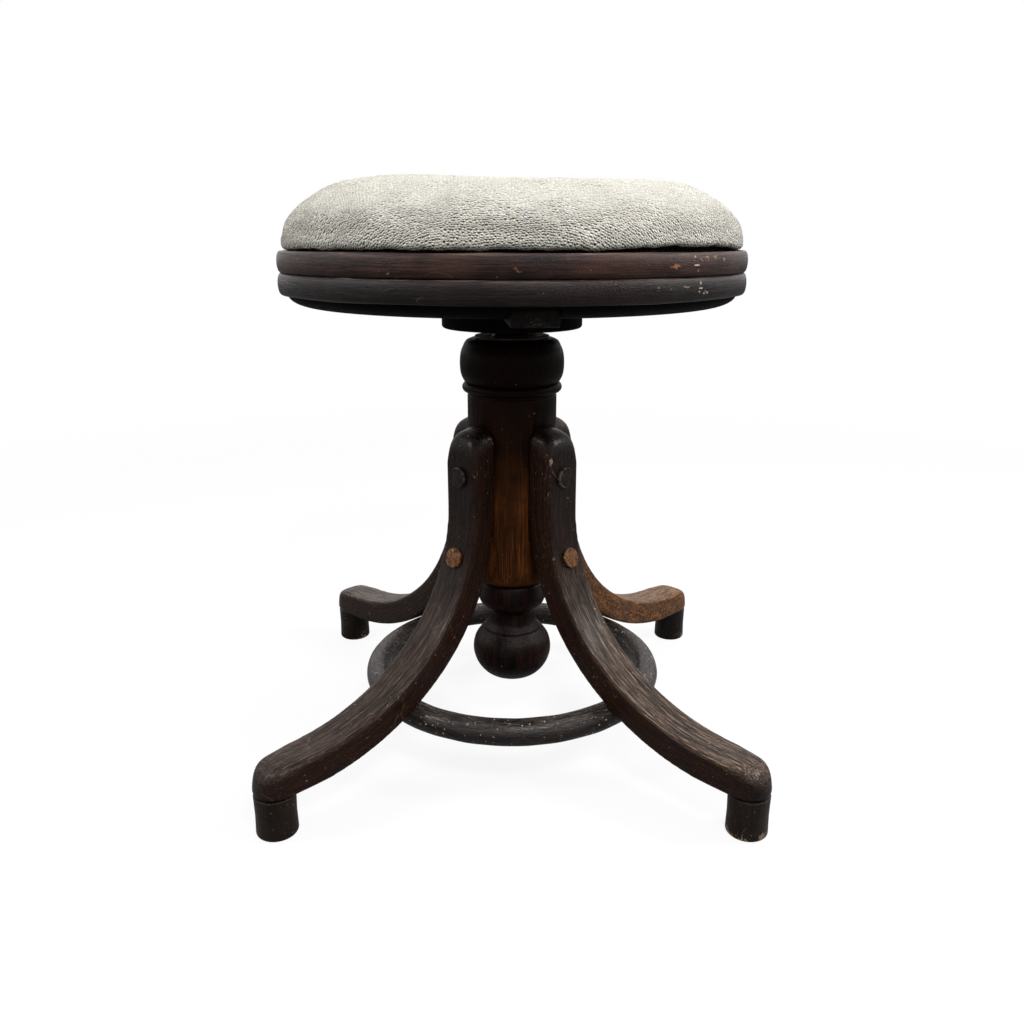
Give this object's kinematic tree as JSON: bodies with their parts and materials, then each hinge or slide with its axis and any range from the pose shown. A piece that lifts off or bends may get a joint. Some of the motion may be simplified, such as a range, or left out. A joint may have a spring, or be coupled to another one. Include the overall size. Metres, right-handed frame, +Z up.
{
  "type": "revolving piano stool",
  "caption": "Round padded stool on a wooden screw in a turned column, with bent wooden legs, a foot ring and peg feet; the seat rises as it turns.",
  "frame": {"origin": "on the floor, on the axis of the screw, midway between the feet", "axes": "+Z up; the front is -Y; +X is the viewer's right, seen from the front"},
  "size_m": [0.3852, 0.3852, 0.4632],
  "materials": {
    "dark_stained_wood": "dark brown-black stain, worn satin",
    "red_stained_wood": "reddish brown stain, satin",
    "rim_wood": "dark brown stain, satin, scratched",
    "plug_wood": "brown stain, satin",
    "black_paint": "black paint, matt",
    "pale_wood": "bare wood, matt",
    "cover_fabric": "cream slub weave",
    "filling": "matt wadding",
    "leather": "matt",
    "steel": "dull"
  },
  "bodies": {
    "base": {"column": "red_stained_wood", "pendant": "dark_stained_wood", "screw_nut": "pale_wood", "foot_ring": "dark_stained_wood", "leg_front_left": "dark_stained_wood", "foot_front_left": "red_stained_wood", "plug_upper_front_left": "plug_wood", "screw_upper_front_left": "steel", "plug_lower_front_left": "plug_wood", "screw_lower_front_left": "steel", "ring_screw_front_left": "steel", "leg_front_right": "dark_stained_wood", "foot_front_right": "red_stained_wood", "plug_upper_front_right": "plug_wood", "screw_upper_front_right": "steel", "plug_lower_front_right": "plug_wood", "screw_lower_front_right": "steel", "ring_screw_front_right": "steel", "leg_back_right": "dark_stained_wood", "foot_back_right": "red_stained_wood", "plug_upper_back_right": "plug_wood", "screw_upper_back_right": "steel", "plug_lower_back_right": "plug_wood", "screw_lower_back_right": "steel", "ring_screw_back_right": "steel", "leg_back_left": "dark_stained_wood", "foot_back_left": "red_stained_wood", "plug_upper_back_left": "plug_wood", "screw_upper_back_left": "steel", "plug_lower_back_left": "plug_wood", "screw_lower_back_left": "steel", "ring_screw_back_left": "steel"},
    "washer": {"friction_washer": "leather"},
    "seat": {"spindle": "pale_wood", "stop_pin": "steel", "hub": "black_paint", "crossbar": "dark_stained_wood", "crossbar_pin": "pale_wood", "seat_board": "black_paint", "seat_rim": "rim_wood", "pad_board": "pale_wood", "padding": "filling", "cover": "cover_fabric", "hub_screw_1": "steel", "hub_screw_2": "steel", "hub_screw_3": "steel", "hub_screw_4": "steel", "crossbar_screw_1": "steel", "crossbar_screw_2": "steel", "rim_screw_1": "steel", "rim_screw_2": "steel", "rim_screw_3": "steel", "rim_screw_4": "steel", "pad_screw_1": "steel", "pad_screw_2": "steel", "pad_screw_3": "steel", "pad_screw_4": "steel"}
  },
  "joints": [
    {"name": "seat_turn", "type": "hinge", "parent": "base", "child": "washer", "pos_m": [0, 0, 0.34], "axis": [0, 0, 1], "range_deg": [-145, 3600]},
    {"name": "seat_rise", "type": "slide", "parent": "washer", "child": "seat", "axis": [0, 0, 1], "range_m": [-0.005, 0.1201]}
  ],
  "couplings": [
    {"joint": "seat_rise", "follows": "seat_turn", "m_per_rad": 0.0019099}
  ]
}
